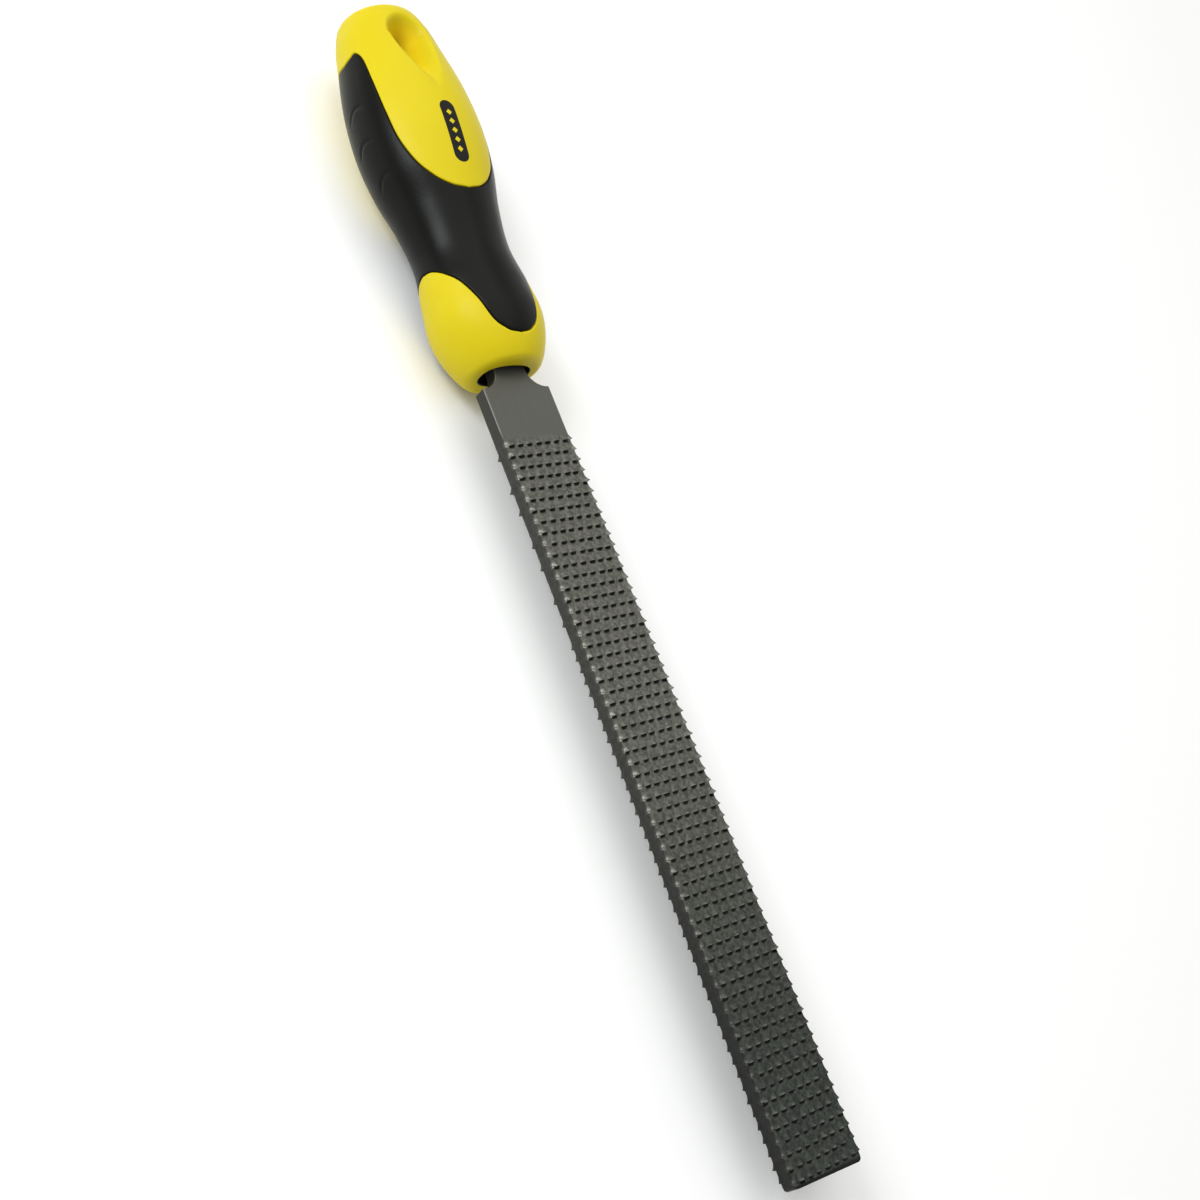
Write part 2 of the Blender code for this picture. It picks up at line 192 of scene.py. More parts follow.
def yellow_plastic():
    """Polypropylene, injection moulded: an even opaque yellow with a satin skin.

    A fine spark-eroded texture breaks up the gloss. The walls of the hang hole are
    painted paler, as painted light in the hole. The mouth of the nose is painted dark
    inside, as painted shade, and the cap carries a printed black bar with a row of open diamonds.
    """
    made, shader = new_material("yellow_polypropylene_moulded")
    place = add_node(made, "ShaderNodeTexCoord", output="Object")
    cloud = add_node(made, NOISE, None, {"Vector": place, "Scale": 60.0, "Detail": 2.0})
    body = add_node(made, MIX, COLOURS, {0: cloud, 6: linear("#c7b40f"), 7: linear("#cdbb14")}, 2)
    # Painted light: the walls of the hang hole are painted paler than the body
    in_hole = add_node(made, ATTRIBUTE, {"attribute_name": "painted_hole_light"}, output="Fac")
    body = add_node(made, MIX, COLOURS, {0: in_hole, 6: body, 7: linear("#dfc31c")}, 2)
    # The bar is a band of points nearer than its half-width to a line along the handle
    on_handle = add_node(
        made,
        "ShaderNodeMapping",
        {"vector_type": "TEXTURE"},
        {"Vector": place, "Location": tuple(handle_to_world([BADGE_X, 0, 0])), "Rotation": (0, TILT, 0)},
    )
    split = "ShaderNodeSeparateXYZ"
    along, across, height = (add_node(made, split, None, {0: on_handle}, k) for k in range(3))
    along = add_node(made, MATH, {"operation": "ABSOLUTE"}, {0: along})
    across = add_node(made, MATH, {"operation": "ABSOLUTE"}, {0: across})
    straight = BADGE_HALF[0] - BADGE_HALF[1]
    past_end = add_node(made, MATH, {"operation": "SUBTRACT"}, {0: along, 1: straight})
    past_end = add_node(made, MATH, {"operation": "MAXIMUM"}, {0: past_end, 1: 0.0})
    squared = add_node(made, MATH, {"operation": "POWER"}, {0: past_end, 1: 2.0})
    squared = add_node(made, MATH, {"operation": "MULTIPLY_ADD"}, {0: across, 1: across, 2: squared})
    in_bar = add_node(made, MATH, {"operation": "LESS_THAN"}, {0: squared, 1: BADGE_HALF[1] ** 2})
    in_front = add_node(made, MATH, {"operation": "GREATER_THAN"}, {0: height, 1: 0.0})
    # Five cells of |along| + |across| < BADGE_DIAMOND, each about its own middle
    to_middle = add_node(made, MATH, {"operation": "PINGPONG"}, {0: along, 1: BADGE_CELL / 2})
    off_row = add_node(made, MATH, {"operation": "GREATER_THAN"}, {0: along, 1: 2.5 * BADGE_CELL})
    from_middle = add_node(made, MATH, {"operation": "ADD"}, {0: to_middle, 1: across})
    from_middle = add_node(made, MATH, {"operation": "ADD"}, {0: from_middle, 1: off_row})
    closed = add_node(made, MATH, {"operation": "GREATER_THAN"}, {0: from_middle, 1: BADGE_DIAMOND})
    printed = add_node(made, MATH, {"operation": "MULTIPLY"}, {0: in_bar, 1: in_front})
    printed = add_node(made, MATH, {"operation": "MULTIPLY"}, {0: printed, 1: closed})
    colour = add_node(made, MIX, COLOURS, {0: printed, 6: body, 7: linear("#14130e")}, 2)
    # Painted shade: the inside of the nose's mouth is painted near black
    inside = add_node(made, ATTRIBUTE, {"attribute_name": "painted_mouth_shade"}, output="Fac")
    colour = add_node(made, MIX, COLOURS, {0: inside, 6: colour, 7: linear("#1a1310")}, 2)
    # The real texture is about 0.05 mm across, so it is drawn coarser to show at all
    grain = add_node(made, NOISE, None, {"Vector": place, "Scale": 1 / (0.9 * MM), "Detail": 2.0})
    bump = add_node(
        made, BUMP, None, {"Height": grain, "Strength": 0.12, "Distance": 0.06 * MM}
    )
    use_on_surface(made, shader, colour, bump)
    shader.inputs["Roughness"].default_value = 0.42
    shader.inputs["IOR"].default_value = 1.49
    shader.inputs["Specular IOR Level"].default_value = 0.15
    shader.inputs["Subsurface Weight"].default_value = 0.2
    shader.inputs["Subsurface Radius"].default_value = (1.0, 0.6, 0.1)
    shader.inputs["Subsurface Scale"].default_value = 0.002
    return made


def black_rubber():
    """Thermoplastic rubber, moulded over the core: near black, soft and slightly dusty."""
    made, shader = new_material("black_thermoplastic_rubber_overmoulded")
    place = add_node(made, "ShaderNodeTexCoord", output="Object")
    cloud = add_node(made, NOISE, None, {"Vector": place, "Scale": 90.0, "Detail": 4.0})
    body = add_node(made, MIX, COLOURS, {0: cloud, 6: linear("#080906"), 7: linear("#0e0f0b")}, 2)
    # Painted shade: the crescent grooves are painted darker than the rest of the sleeve
    groove = add_node(made, ATTRIBUTE, {"attribute_name": "groove"}, output="Fac")
    colour = add_node(made, MIX, COLOURS, {0: groove, 6: body, 7: linear("#060605")}, 2)
    # Coarser than the real matt texture, which is too fine to show
    grain = add_node(made, NOISE, None, {"Vector": place, "Scale": 1 / (0.7 * MM), "Detail": 3.0})
    bump = add_node(
        made, BUMP, None, {"Height": grain, "Strength": 0.3, "Distance": 0.08 * MM}
    )
    use_on_surface(made, shader, colour, bump)
    shader.inputs["Roughness"].default_value = 0.34
    shader.inputs["IOR"].default_value = 1.5
    shader.inputs["Specular IOR Level"].default_value = 0.12
    return made


def hardened_steel():
    """High-carbon steel, ground along its length, punched and quenched: a dark grey skin.

    Grinding leaves fine lines along the heel. The toothed part is speckled and darkens to
    the tip, and the narrow sides and the tip keep a dark skin. The neck just inside the
    handle's mouth and the pits are painted dark as painted shade, and the crests, the
    heel's long edges and the end teeth are painted paler as painted highlights.
    """
    made, shader = new_material("carbon_steel_ground_and_quenched")
    place = add_node(made, "ShaderNodeTexCoord", output="Object")
    # Grinding lines 0.6 mm apart and 25 mm long, wider than real ones so that they show
    drawn_out = add_node(
        made, "ShaderNodeMapping", None, {"Vector": place, "Scale": (40.0, 1600.0, 1600.0)}
    )
    lines = add_node(made, NOISE, None, {"Vector": drawn_out, "Scale": 1.0, "Detail": 3.0})
    speckle = add_node(made, NOISE, None, {"Vector": place, "Scale": 1 / (0.9 * MM), "Detail": 4.0})
    speckle = add_node(made, "ShaderNodeMapRange", None, {0: speckle, 1: 0.36, 2: 0.64})
    colour = add_node(made, MIX, COLOURS, {0: lines, 6: linear("#53534d"), 7: linear("#595952")}, 2)
    at_heel = add_node(made, MIX, COLOURS, {0: speckle, 6: linear("#474740"), 7: linear("#67675e")}, 2)
    at_tip = add_node(made, MIX, COLOURS, {0: speckle, 6: linear("#20231f"), 7: linear("#3d423b")}, 2)
    towards_tip = add_node(made, ATTRIBUTE, {"attribute_name": "towards_tip"}, output="Fac")
    punched = add_node(made, MIX, COLOURS, {0: towards_tip, 6: at_heel, 7: at_tip}, 2)
    dark_skin_and_shade = add_node(
        made, MIX, COLOURS, {0: towards_tip, 6: linear("#20201c"), 7: linear("#060605")}, 2
    )
    for name, skin_colour in (
        ("toothed", punched),
        ("painted_highlight", linear("#b9b8ac")),
        ("dark_skin_and_mouth_shade", dark_skin_and_shade),
        ("painted_pit_shade", linear("#1a1a16")),
    ):
        share = add_node(made, ATTRIBUTE, {"attribute_name": name}, output="Fac")
        colour = add_node(made, MIX, COLOURS, {0: share, 6: colour, 7: skin_colour}, 2)
    bump = add_node(
        made, BUMP, None, {"Height": lines, "Strength": 0.15, "Distance": 0.04 * MM}
    )
    use_on_surface(made, shader, colour, bump)
    # The quench leaves an oxide skin, so the steel shines only partly as a metal
    shader.inputs["Metallic"].default_value = 0.55
    shader.inputs["Roughness"].default_value = 0.5
    return made


def floor_paper():
    """Seamless background paper: matt and nearly white."""
    made, shader = new_material("white_background_paper")
    shader.inputs["Base Color"].default_value = linear("#f6f6f4")
    shader.inputs["Roughness"].default_value = 0.9
    shader.inputs["Specular IOR Level"].default_value = 0.1
    return made


# ---------------------------------------------------------------- meshes
CREASE = 50            # degrees between faces from which an edge of the handle stays hard
TOOTH_CREASE = 38


def grid_faces(rows, columns, close_rows=False):
    """Quads of a grid whose columns close round; rows close too on a ring-shaped band."""
    r = np.arange(rows if close_rows else rows - 1)[:, None]
    c = np.arange(columns)[None, :]
    here, there = r * columns, ((r + 1) % rows) * columns
    right = (c + 1) % columns
    quads = np.stack([here + c, here + right, there + right, there + c], axis=-1)
    return quads.reshape(-1, 4)


def end_fans(rows, columns, first):
    """Triangles from the first and the last row to a pole each; first is the first pole's index."""
    c = np.arange(columns)
    right = (c + 1) % columns
    last = (rows - 1) * columns
    start = np.stack([right, c, np.full(columns, first)], axis=-1)
    end = np.stack([last + c, last + right, np.full(columns, first + 1)], axis=-1)
    return start, end


def signed_volume(points, triangles):
    a, b, c = (points[triangles[:, k]] for k in range(3))
    return np.einsum("ij,ij->i", a, np.cross(b, c)).sum() / 6


def surface(name, rings, material, values=None, close_rows=False, sharp=None):
    """A closed mesh from rings of points (rows, columns, 3) in metres, facing outwards.

    The first and last ring are closed to their middle, unless the rows close on
    themselves. values holds a number per point for each named attribute.
    """
    rows, columns = rings.shape[:2]
    points = rings.reshape(-1, 3)
    quads = grid_faces(rows, columns, close_rows)
    fans = np.zeros((0, 3), int)
    if not close_rows:
        poles = np.stack([rings[0].mean(axis=0), rings[-1].mean(axis=0)])
        start, end = end_fans(rows, columns, len(points))
        fans = np.concatenate([start, end])
        points = np.concatenate([points, poles])
    triangles = np.concatenate([quads[:, [0, 1, 2]], quads[:, [0, 2, 3]], fans])
    if signed_volume(points, triangles) < 0:
        quads, fans = quads[:, ::-1], fans[:, ::-1]
    mesh = bpy.data.meshes.new(name)
    corners = np.concatenate([quads.ravel(), fans.ravel()])
    sizes = np.concatenate([np.full(len(quads), 4), np.full(len(fans), 3)])
    mesh.vertices.add(len(points))
    mesh.vertices.foreach_set("co", points.astype(np.float32).ravel())
    mesh.loops.add(len(corners))
    mesh.loops.foreach_set("vertex_index", corners.astype(np.int32))
    mesh.polygons.add(len(sizes))
    starts = np.concatenate([[0], np.cumsum(sizes)[:-1]])
    mesh.polygons.foreach_set("loop_start", starts.astype(np.int32))
    mesh.update(calc_edges=True)
    mesh.validate()
    for key, value in (values or {}).items():
        full = np.zeros(len(points), np.float32)
        full[: rows * columns] = np.broadcast_to(value, (rows, columns)).ravel()
        if not close_rows:
            full[-2:] = value[0].mean(), value[-1].mean()
        mesh.attributes.new(key, "FLOAT", "POINT").data.foreach_set("value", full)
    mesh.shade_smooth()
    if sharp:
        mesh.set_sharp_from_angle(angle=math.radians(sharp))
    mesh.materials.append(material)
    made = bpy.data.objects.new(name, mesh)
    bpy.context.scene.collection.objects.link(made)
    return made


def smooth_through(points, per_span):
    """Points on a cubic through the given ones, with chord lengths as its parameter."""
    given = np.array(points, float)
    chord = np.concatenate([[0], np.cumsum(np.linalg.norm(np.diff(given, axis=0), axis=1))])
    slope = np.gradient(given, chord, axis=0)
    i = np.repeat(np.arange(len(given) - 1), per_span)
    t = np.tile(np.linspace(0, 1, per_span, endpoint=False), len(given) - 1)[:, None]
    span = (chord[i + 1] - chord[i])[:, None]
    curve = (
        (2 * t**3 - 3 * t**2 + 1) * given[i]
        + (t**3 - 2 * t**2 + t) * span * slope[i]
        + (3 * t**2 - 2 * t**3) * given[i + 1]
        + (t**3 - t**2) * span * slope[i + 1]
    )
    return np.concatenate([curve, given[-1:]])


def step_up(value, low, high):
    """0 below low, 1 above high, and a smooth S between."""
    t = np.clip((value - low) / (high - low), 0, 1)
    return t * t * (3 - 2 * t)


# ---------------------------------------------------------------- the handle's skin
# X and half-width from the butt to the flat end of the nose
HANDLE_OUTLINE = (
    (-111.6, 0.0), (-111.2, 6.6), (-109.4, 10.6), (-104.5, 13.0), (-97.0, 14.7),
    (-84.0, 17.1), (-71.0, 17.75), (-61.0, 16.8), (-50.0, 14.5), (-38.0, 13.3),
    (-27.0, 14.75), (-18.0, 15.3), (-10.5, 13.2), (-6.8, 11.2), (-5.4, 10.0),
    (-5.0, 8.9),
)
# Sleeve outlines over a quarter: degrees round from the front, and X
SLEEVE_BUTT_EDGE = (
    (0, -51.6), (19, -52.9), (34, -56.2), (45, -61.2), (51.5, -68.0), (54, -76.0),
    (57, -86.0), (61, -93.2), (68, -96.2), (78, -95.9), (90, -95.4),
)
SLEEVE_NOSE_EDGE = (
    (0, -10.4), (17, -11.7), (28, -15.0), (34, -20.5), (43, -25.9), (58, -30.3),
    (74, -32.8), (90, -33.6),
)
EASE_LENGTH = 1.2
GRIP_FLATNESS = 0.86   # thickness over width
NOSE_FLATNESS = 0.97
GRIP_END = -32.0       # the handle gets rounder from here over this length
ROUNDING_LENGTH = 27.0
SLEEVE_THICKNESS = 1.7
POCKET_DEPTH = 2.0
SEAM = 0.16            # open width between the two plastics, seen as a fine dark line
CORE_EDGE = 0.4        # rounding of the yellow edge along the seam
SLEEVE_EDGE = 0.5      # rounding of the black one
QUARTER_COLUMNS = 104
CAP_ROWS = 131
SLEEVE_ROWS = 150
WALL_ROWS = 12         # of the pocket's floor and of the sleeve's inner wall
NOSE_ROWS = 43
BUTT_POLE = 0.05       # arc length at the first ring round the butt's pole

MOUTH = (6.9, 5.0)     # half-width and half-height
MOUTH_EDGE = 0.5
MOUTH_DEPTH = 7.5
SOCKET_END = -70.3
HOLE_X = -99.0         # the hang hole is a drop with its point towards the blade
HOLE_HALF_WIDTH = 5.5
HOLE_TO_POINT = 16.6
HOLE_TO_BUTT = 7.2
HOLE_BOWL_DEPTH = 8.6
HOLE_LIP_REACH = 1.2   # the bowl's lip lies at this share of the drop's radius
HOLE_THROUGH_SCALE = 0.42      # and the wall of the way through at this one
HOLE_BUTT_SHORTENING = 1.2     # both lie closer to the middle on the butt's side
HOLE_CUTTER_REACH = 22.0

BADGE_X = -66.9        # the printed bar, and in it a diamond per cell
BADGE_HALF = (8.7 * MM, 2.2 * MM)
BADGE_CELL = 2.6 * MM
BADGE_DIAMOND = 0.85 * MM


def handle_profile():
    """The outline as arc length from the butt, X and half-width, with its kinks eased.

    Easing is a moving average under a bell of EASE_LENGTH to each side.
    """
    curve = smooth_through(HANDLE_OUTLINE, 60)
    length = np.concatenate([[0], np.cumsum(np.hypot(*np.diff(curve, axis=0).T))])
    even = np.linspace(0, length[-1], 3000)
    x, r = (np.interp(even, length, curve[:, k]) for k in (0, 1))
    step = even[1]
    taps = int(EASE_LENGTH / step)
    window = np.hanning(2 * taps + 1)
    window /= window.sum()
    eased = []
    for line, mirror in ((x, 1), (r, -1)):
        before = mirror * line[taps:0:-1]
        after = 2 * line[-1] - line[-2:-taps - 2:-1]
        eased.append(np.convolve(np.concatenate([before, line, after]), window, "valid"))
    return even, eased[0], eased[1]


PROFILE_S, PROFILE_X, PROFILE_R = handle_profile()
SKIN_END = PROFILE_S[-1]


def flatness(x):
    """Thickness over width: flat at the grip, nearly round at the nose."""
    towards_nose = np.clip((x - GRIP_END) / ROUNDING_LENGTH, 0, 1) ** 1.5
    return GRIP_FLATNESS + (NOSE_FLATNESS - GRIP_FLATNESS) * towards_nose


def half_width(x):
    return np.interp(x, PROFILE_X, PROFILE_R)


def s_at(x):
    """Arc length from the butt at X."""
    return np.interp(x, PROFILE_X, PROFILE_S)


def skin(angle, s, lift=0.0):
    """A point of the oval body, or one lifted from it along its normal.

    It is (X(s), R sin angle, R f cos angle), with f the flatness and the angle
    measured from the front.
    """
    angle, s, lift = np.broadcast_arrays(angle, s, lift)
    step = 0.15

    def place(at):
        x, r = np.interp(at, PROFILE_S, PROFILE_X), np.interp(at, PROFILE_S, PROFILE_R)
        return np.stack([x, r * np.sin(angle), r * flatness(x) * np.cos(angle)], axis=-1), r, x

    points, r, x = place(s)
    ahead, behind = place(np.minimum(s + step, SKIN_END))[0], place(np.maximum(s - step, 0))[0]
    along = ahead - behind
    around = np.stack(
        [np.zeros_like(r), np.cos(angle), -flatness(x) * np.sin(angle)], axis=-1
    )
    normal = np.cross(along, around)
    normal /= np.maximum(np.linalg.norm(normal, axis=-1, keepdims=True), 1e-9)
    if np.einsum("...k,...k", normal, points * (0, 1, 1)).sum() < 0:
        normal = -normal
    return points + normal * lift[..., None]


def edge_curve(outline, inset):
    """A sleeve edge over a quarter, moved along the skin by inset towards larger X."""
    curve = smooth_through(outline, 24)
    angle, x = np.radians(curve[:, 0]), curve[:, 1]
    around = np.gradient(angle) * half_width(x)
    run = np.hypot(around, np.gradient(x))
    return angle - inset * np.gradient(x) / run / half_width(x), x + inset * around / run


def column_angles():
    """Angles round the handle, closer together where an edge of the sleeve runs along it."""
    fine = np.linspace(0, math.pi / 2, 800)
    length = fine * 46
    for outline in (SLEEVE_BUTT_EDGE, SLEEVE_NOSE_EDGE):
        edge = np.interp(fine, *edge_curve(outline, 0))
        length = length + np.concatenate([[0], np.cumsum(np.abs(np.diff(edge)))])
    quarter = np.interp(np.linspace(0, length[-1], QUARTER_COLUMNS + 1), length, fine)
    half = np.concatenate([quarter, math.pi - quarter[-2::-1]])
    return np.concatenate([half, math.pi + half[1:-1]])


ANGLES = column_angles()
FROM_FACE = np.abs((ANGLES + math.pi / 2) % math.pi - math.pi / 2)


def edge_s(outline, inset=0.0):
    """Arc length of a sleeve edge at every column."""
    return s_at(np.interp(FROM_FACE, *edge_curve(outline, inset)))


def hole_rim(a):
    """Distance from the hole's middle to its rim at angle a: a drop, pointed towards the blade."""
    u = np.clip(np.cos(a), 0, 1) ** 1.4
    ahead = np.stack([HOLE_TO_POINT * u, HOLE_HALF_WIDTH * (1 - u**1.6) ** 0.7], axis=-1)
    behind = np.stack([HOLE_TO_BUTT * np.cos(a), HOLE_HALF_WIDTH * np.abs(np.sin(a))], axis=-1)
    return np.where((np.cos(a) < 0)[..., None], behind, ahead)


def rim_radius_table():
    """The rim again, as its distance from the hole's middle over the angle seen from there."""
    a = np.linspace(0, math.pi, 721)
    rim = hole_rim(a)
    angle = np.arctan2(rim[:, 1], rim[:, 0])
    order = np.argsort(angle)
    return angle[order], np.hypot(rim[:, 0], rim[:, 1])[order]


RIM_ANGLE, RIM_RADIUS = rim_radius_table()


def sink_hole(points):
    """Presses the bowl of the hang hole into front and back, and gives its depth too.

    The depth is HOLE_BOWL_DEPTH times a power of how far in from the lip a point lies, so
    the lip turns in gently and the wall gets steep towards the way through.
    """
    x, y, z = np.moveaxis(points, -1, 0)
    dx, dy = x - HOLE_X, np.abs(y)
    dx = np.where(dx < 0, HOLE_BUTT_SHORTENING * dx, dx)
    radius = np.interp(np.arctan2(dy, dx), RIM_ANGLE, RIM_RADIUS)
    reach = np.hypot(dx, dy) / radius
    inside = np.clip((HOLE_LIP_REACH - reach) / (HOLE_LIP_REACH - HOLE_THROUGH_SCALE), 0, 1)
    inside = inside ** np.where(dx < 0, 1.7, 2.0)
    depth = HOLE_BOWL_DEPTH * inside * step_up(np.abs(z), 2.0, 5.0)
    return np.stack([x, y, z - np.sign(z) * depth], axis=-1), depth


def socket_ring(x, half_w, half_t):
    """A nearly rectangular ring at X of the blade's frame: |y|^8 + |z|^8 = 1, scaled."""
    y, z = np.sin(ANGLES), np.cos(ANGLES)
    scale = (np.abs(y) ** 8 + np.abs(z) ** 8) ** (-1 / 8)
    return np.stack([np.full_like(y, x), half_w * y * scale, half_t * z * scale], axis=-1)


def edge_rows(outline, direction, radius, from_skin):
    """Rows of a quarter round at a sleeve edge: arc lengths, and heights over the skin.

    direction is +1 for the piece on the nose side of the seam, and -1 for the other.
    """
    turn = np.linspace(0, math.pi / 2, 6)
    turn = turn[1:] if from_skin else turn[::-1]
    insets = direction * (SEAM / 2 + radius * (1 - np.sin(turn)))
    rows = [edge_s(outline, inset) for inset in insets]
    return rows, list(-radius * (1 - np.cos(turn)))


def core_skin():
    """Rows of the core from butt to nose: cap, rounded edge, pocket floor, rounded edge, nose.

    Gives the points and the number of rows that the hang hole reaches.
    """
    # The cap's rows lie closer together where the hang hole is
    fine = np.linspace(0, 1, 400)
    weight = 1 + 1.3 * (step_up(fine, 0.05, 0.12) - step_up(fine, 0.55, 0.68))
    level = np.concatenate([[0], np.cumsum(weight[1:])])
    shares = np.interp(np.linspace(0, level[-1], CAP_ROWS + 1), level, fine)[1:]
    cap_end = edge_s(SLEEVE_BUTT_EDGE, -SEAM / 2 - CORE_EDGE)
    rows = [BUTT_POLE + (cap_end - BUTT_POLE) * u for u in shares]
    lifts = [0.0] * CAP_ROWS
    more_rows, more_lifts = edge_rows(SLEEVE_BUTT_EDGE, -1, CORE_EDGE, True)
    rows, lifts = rows + more_rows, lifts + more_lifts
    hole_rows = len(rows)
    butt_wall = edge_s(SLEEVE_BUTT_EDGE, -SEAM / 2)
    nose_wall = edge_s(SLEEVE_NOSE_EDGE, SEAM / 2)
    rows += [butt_wall + (nose_wall - butt_wall) * u for u in np.linspace(0, 1, WALL_ROWS)]
    lifts += [-POCKET_DEPTH] * WALL_ROWS
    more_rows, more_lifts = edge_rows(SLEEVE_NOSE_EDGE, 1, CORE_EDGE, False)
    rows, lifts = rows + more_rows, lifts + more_lifts
    nose_start = edge_s(SLEEVE_NOSE_EDGE, SEAM / 2 + CORE_EDGE)
    rows += [nose_start + (SKIN_END - nose_start) * u for u in np.linspace(0, 1, NOSE_ROWS + 1)[1:]]
    lifts += [0.0] * NOSE_ROWS
    return skin(ANGLES[None, :], np.array(rows), np.array(lifts)[:, None]), hole_rows


def mouth_rows(rim):
    """Rows across the flat end of the nose from its rim, round the mouth's edge and into it."""
    rounded = [np.abs(part) ** 0.8 * np.sign(part) for part in (np.sin(ANGLES), np.cos(ANGLES))]
    edge = np.stack(
        [np.full_like(ANGLES, PROFILE_X[-1]), MOUTH[0] * rounded[0], MOUTH[1] * rounded[1]], axis=-1
    )
    outward = edge * (0, 1, 1)
    outward /= np.linalg.norm(outward, axis=-1, keepdims=True)
    inwards = np.array([-1, 0, 0])
    rows = [rim + (edge + outward * MOUTH_EDGE - rim) * u for u in (0.35, 0.7, 1.0)]
    for t in np.linspace(0, math.pi / 2, 5)[1:]:
        back_off = outward * (1 - math.sin(t)) + inwards * (1 - math.cos(t))
        rows.append(edge + MOUTH_EDGE * back_off)
    rows += [edge + inwards * depth for depth in (1.2, 2.4, 4.0, 6.0, MOUTH_DEPTH)]
    return rows


def make_core(material):
    """One closed skin: cap, pocket floor under the sleeve, nose, mouth and tang socket."""
    shell, hole_rows = core_skin()
    shell[:hole_rows], hole_depth = sink_hole(shell[:hole_rows])
    inner = mouth_rows(shell[-1])
    body = handle_to_blade(np.concatenate([shell, np.array(inner)]))
    floor_x = PROFILE_X[-1] - MOUTH_DEPTH
    socket = [
        socket_ring(floor_x, 5.0, 2.4),
        socket_ring(floor_x - 0.4, 4.9, 2.2),
        socket_ring(SOCKET_END, 1.9, 1.5),
    ]
    rings = blade_to_world(np.concatenate([body, np.array(socket)]))
    # Painted shade from the mouth's rounded edge inwards
    dark = np.zeros(rings.shape[:2])
    dark[len(shell) + 3] = 0.3
    dark[len(shell) + 4:] = 1.0
    # Painted light on the walls of the hang hole, weaker on the blade's side of its middle
    hole_light = np.zeros(rings.shape[:2])
    past_middle = step_up(shell[:hole_rows, :, 0], HOLE_X - 4, HOLE_X + 6)
    hole_light[:hole_rows] = step_up(hole_depth, 0.6, 4.5) * (1 - 0.5 * past_middle)
    values = {"painted_mouth_shade": dark, "painted_hole_light": hole_light}
    core = surface("handle_moulding", rings, material, values, sharp=CREASE)
    cut_hang_hole(core)
    return core


def cut_hang_hole(core):
    """Cuts the drop-shaped way through between the two bowls, with its own smooth walls."""
    a = np.linspace(0, 2 * math.pi, 96, endpoint=False)
    rim = hole_rim(a)
    ring = np.stack(
        [
            HOLE_X + rim[:, 0] * HOLE_THROUGH_SCALE,
            np.sign(np.sin(a)) * rim[:, 1] * HOLE_THROUGH_SCALE,
            np.zeros_like(a),
        ],
        axis=-1,
    )
    rings = np.stack([ring + (0, 0, z) for z in (-HOLE_CUTTER_REACH, 0.0, HOLE_CUTTER_REACH)])
    cutter = surface("hole_cutter", handle_to_world(rings), core.data.materials[0])
    cut = core.modifiers.new("hang_hole", "BOOLEAN")
    cut.operation = "DIFFERENCE"
    cut.solver = "EXACT"
    cut.object = cutter
    bpy.context.view_layer.update()
    graph = bpy.context.evaluated_depsgraph_get()
    mesh = bpy.data.meshes.new_from_object(core.evaluated_get(graph))
    core.modifiers.clear()
    core.data = mesh
    mesh.set_sharp_from_angle(angle=math.radians(CREASE))
    bpy.data.objects.remove(cutter, do_unlink=True)


# Crescents pressed into each side of the sleeve: X, degrees from the front, and size
CRESCENTS = ((-79.0, 84.0, 5.2), (-69.0, 86.0, 5.6), (-58.5, 76.0, 6.0))
GROOVE_DEPTH = 0.2
GROOVE_HALF_WIDTH = 0.5


def groove_strength(angle, x):
    """1 in the middle of a crescent and 0 off it: near an arc of a circle that fades to its ends.

    Both sides of the handle have the same ones, since only the angle from the front counts.
    """
    strength = np.zeros(np.shape(x))
    round_by = np.degrees(np.arccos(np.clip(np.cos(angle), -1, 1)))
    for centre_x, degrees, radius in CRESCENTS:
        v = (round_by - degrees) * math.pi / 180 * half_width(x)
        u = x - centre_x - radius * 0.55
        distance = np.abs(np.hypot(u, v) - radius)
        turn = np.degrees(np.arctan2(v, -u))
        fade = 1 - step_up(np.abs(turn - 12), 30, 58)
        width = GROOVE_HALF_WIDTH * (0.45 + 0.55 * fade)
        strength = np.maximum(strength, fade * (1 - step_up(distance, 0, width * 1.6)))
    return strength


def make_sleeve(material):
    """A ring-shaped band: outer skin, rounded edge, inner wall, rounded edge, closed on itself."""
    skin_start = edge_s(SLEEVE_BUTT_EDGE, SEAM / 2 + SLEEVE_EDGE)
    skin_end = edge_s(SLEEVE_NOSE_EDGE, -SEAM / 2 - SLEEVE_EDGE)
    rows = [skin_start + (skin_end - skin_start) * u for u in np.linspace(0, 1, SLEEVE_ROWS)]
    groove = groove_strength(ANGLES[None, :], np.interp(rows, PROFILE_S, PROFILE_X))
    lifts = list(-GROOVE_DEPTH * groove)
    more_rows, more_lifts = edge_rows(SLEEVE_NOSE_EDGE, -1, SLEEVE_EDGE, True)
    rows, lifts = rows + more_rows, lifts + more_lifts
    wall_start = edge_s(SLEEVE_BUTT_EDGE, SEAM / 2)
    wall_end = edge_s(SLEEVE_NOSE_EDGE, -SEAM / 2)
    rows += [wall_end + (wall_start - wall_end) * u for u in np.linspace(0, 1, WALL_ROWS)]
    lifts += [-SLEEVE_THICKNESS] * WALL_ROWS
    more_rows, more_lifts = edge_rows(SLEEVE_BUTT_EDGE, 1, SLEEVE_EDGE, False)
    rows, lifts = rows + more_rows[:-1], lifts + more_lifts[:-1]
    lifts = np.array([np.broadcast_to(lift, ANGLES.shape) for lift in lifts])
    in_groove = np.zeros(lifts.shape)
    in_groove[:SLEEVE_ROWS] = groove
    rings = handle_to_world(skin(ANGLES[None, :], np.array(rows), lifts))
    values = {"groove": in_groove}
    return surface("grip_overmould", rings, material, values, close_rows=True, sharp=CREASE)


